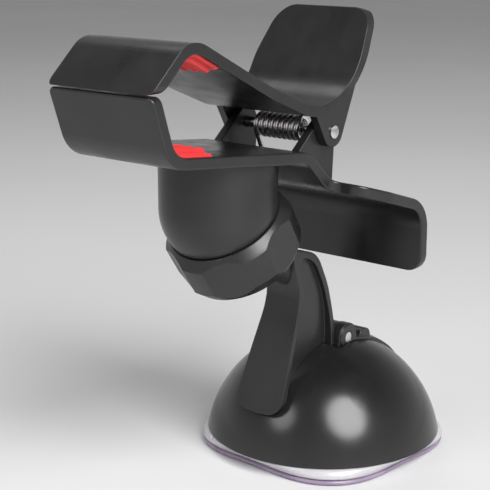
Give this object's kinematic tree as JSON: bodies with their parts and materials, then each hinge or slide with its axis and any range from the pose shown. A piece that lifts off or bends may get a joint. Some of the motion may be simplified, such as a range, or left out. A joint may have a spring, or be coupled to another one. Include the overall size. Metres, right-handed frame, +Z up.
{
  "type": "car phone mount",
  "caption": "Suction-cup car phone mount with a lock lever, a curved arm, a ball joint with a ring nut and a sprung two-jaw clamp with ribbed rubber grips.",
  "frame": {"origin": "centre of the suction face, on the surface the mount stands on", "axes": "+Z up from the suction face, -Y towards the mouth of the jaws, +X across the jaws along their hinge pin"},
  "size_m": [0.0686, 0.1243, 0.1282],
  "materials": {
    "black_plastic": "satin moulded ABS, charcoal black",
    "gloss_black_plastic": "polished moulded ABS, black",
    "black_nylon": "smooth nylon",
    "red_rubber": "soft ribbed thermoplastic rubber",
    "friction_rubber": "dense friction rubber",
    "clear_pvc": "clear flexible PVC",
    "lilac_gel": "tacky tinted polyurethane gel",
    "steel": "bright nickel-plated steel",
    "zinc_screw": "zinc-plated steel",
    "spring_chrome": "bright nickel-plated spring wire"
  },
  "bodies": {
    "base": {"suction_cup": "clear_pvc", "gel_layer": "lilac_gel", "dome_cover": "gloss_black_plastic", "inner_frame": "black_plastic", "frame_screws": "zinc_screw", "arm_screws": "zinc_screw", "support_arm": "black_plastic", "ball_stud": "black_nylon", "cam_plate": "steel", "return_spring": "spring_chrome"},
    "stem": {"suction_stem": "black_nylon", "lever_pin": "steel"},
    "lever": {"lock_lever": "black_plastic"},
    "pad": {"friction_pad": "friction_rubber"},
    "liner": {"socket_liner": "black_nylon"},
    "clamp": {"socket_housing": "black_plastic", "thrust_washer": "steel", "lower_jaw": "black_plastic", "lower_grip_pad": "red_rubber", "housing_screws": "zinc_screw", "pivot_pin": "steel", "pin_clip": "steel", "torsion_spring": "spring_chrome"},
    "ring": {"squeeze_ring": "steel"},
    "nut": {"lock_nut": "black_plastic"},
    "upper": {"upper_jaw": "black_plastic", "upper_grip_pad": "red_rubber"}
  },
  "joints": [
    {"name": "stem_travel", "type": "slide", "parent": "base", "child": "stem", "axis": [0, 0, 1], "range_m": [-0.0018, 0], "deforming": ["return_spring"]},
    {"name": "lever_lift", "type": "hinge", "parent": "stem", "child": "lever", "pos_m": [0, 0, 0.0334], "axis": [1, 0, 0], "range_deg": [0, 75]},
    {"name": "neck_swivel", "type": "hinge", "parent": "base", "child": "pad", "pos_m": [0, -0.04157, 0.07053], "axis": [0, 0.848, -0.5299], "range_deg": [-45, 45]},
    {"name": "ball_tilt", "type": "hinge", "parent": "pad", "child": "liner", "pos_m": [0, -0.04157, 0.07053], "axis": [1, 0, 0], "range_deg": [-12, 16]},
    {"name": "clamp_turn", "type": "hinge", "parent": "liner", "child": "clamp", "pos_m": [0, -0.04157, 0.07053], "axis": [0, -0.5446, 0.8387], "continuous": true},
    {"name": "nut_travel", "type": "slide", "parent": "clamp", "child": "ring", "axis": [0, 0.5446, -0.8387], "range_m": [0, 0.0008]},
    {"name": "nut_turn", "type": "hinge", "parent": "ring", "child": "nut", "pos_m": [0, -0.0383, 0.0655], "axis": [0, 0.5446, -0.8387], "range_deg": [0, 180]},
    {"name": "jaw_open", "type": "hinge", "parent": "clamp", "child": "upper", "pos_m": [0, -0.0205, 0.097], "axis": [-1, 0, 0], "range_deg": [0, 50], "stiffness_Nm_per_rad": 0.25, "springref_deg": -28.65}
  ],
  "couplings": [
    {"joint": "lever_lift", "follows": "stem_travel", "rad_per_m": -727.22},
    {"joint": "nut_turn", "follows": "nut_travel", "rad_per_m": 3926.9}
  ]
}
